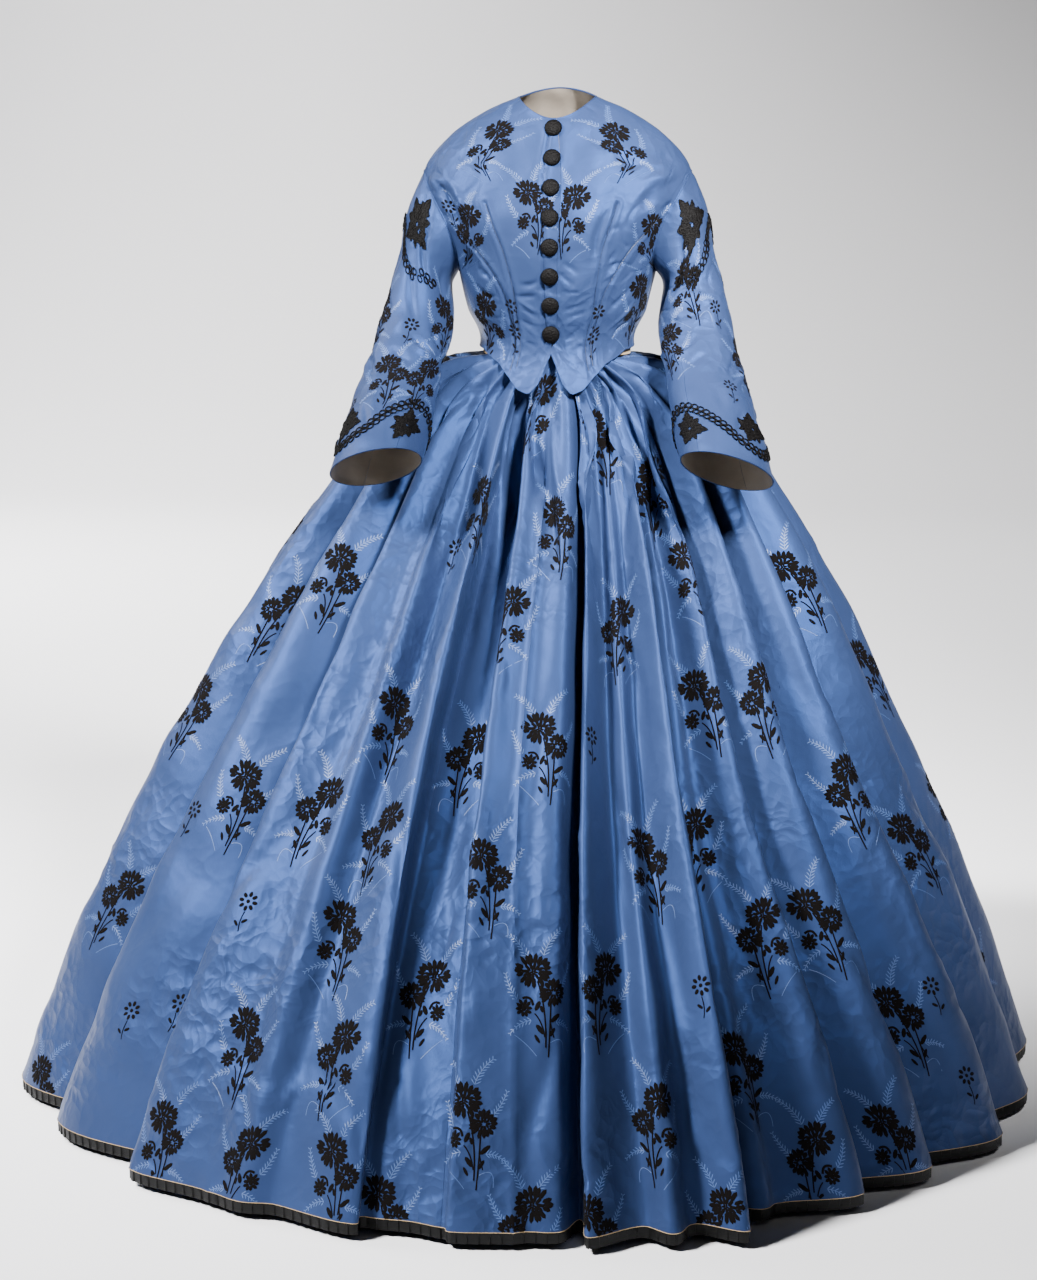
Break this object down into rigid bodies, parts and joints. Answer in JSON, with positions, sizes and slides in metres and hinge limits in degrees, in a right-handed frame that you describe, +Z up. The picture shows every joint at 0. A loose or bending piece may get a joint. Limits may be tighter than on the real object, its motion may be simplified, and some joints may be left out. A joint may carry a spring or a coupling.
{
  "type": "two-piece day dress in figured silk, about 1860",
  "caption": "Pointed buttoned bodice with bell coat sleeves over a full pleated skirt, in its worn shape, with braid medallions and a pleated black hem edging.",
  "frame": {"origin": "on the axis of the body at the waist, where the wearer's waist bears the skirt", "axes": "+Z up along the body, -Y the centre front, +X the wearer's left"},
  "size_m": [1.4662, 1.5297, 1.4278],
  "materials": {
    "blue_silk": "figured silk taffeta, soft sheen",
    "black_braid": "matt corded braid and covered buttons",
    "black_silk": "knife-pleated silk edging",
    "tan_tape": "cotton tape waistband"
  },
  "bodies": {
    "root": {"skirt_width_1": "blue_silk", "skirt_width_2": "blue_silk", "skirt_width_3": "blue_silk", "skirt_width_4": "blue_silk", "skirt_width_5": "blue_silk", "skirt_width_6": "blue_silk", "skirt_width_7": "blue_silk", "skirt_width_8": "blue_silk", "hem_pleating_1": "black_silk", "hem_pleating_2": "black_silk", "hem_pleating_3": "black_silk", "hem_pleating_4": "black_silk", "hem_pleating_5": "black_silk", "hem_pleating_6": "black_silk", "hem_pleating_7": "black_silk", "hem_pleating_8": "black_silk", "waistband": "tan_tape", "bodice_front_left": "blue_silk", "bodice_front_right": "blue_silk", "bodice_back": "blue_silk", "button_1": "black_braid", "button_2": "black_braid", "button_3": "black_braid", "button_4": "black_braid", "button_5": "black_braid", "button_6": "black_braid", "button_7": "black_braid", "button_8": "black_braid", "sleeve_upper_left": "blue_silk", "sleeve_under_left": "blue_silk", "cuff_chain_left": "black_braid", "cap_chain_left": "black_braid", "cuff_star_left_1": "black_braid", "cuff_star_left_2": "black_braid", "cuff_star_left_3": "black_braid", "cuff_star_left_4": "black_braid", "cap_star_left_1": "black_braid", "cap_star_left_2": "black_braid", "sleeve_upper_right": "blue_silk", "sleeve_under_right": "blue_silk", "cuff_chain_right": "black_braid", "cap_chain_right": "black_braid", "cuff_star_right_1": "black_braid", "cuff_star_right_2": "black_braid", "cuff_star_right_3": "black_braid", "cuff_star_right_4": "black_braid", "cap_star_right_1": "black_braid", "cap_star_right_2": "black_braid"}
  },
  "joints": []
}
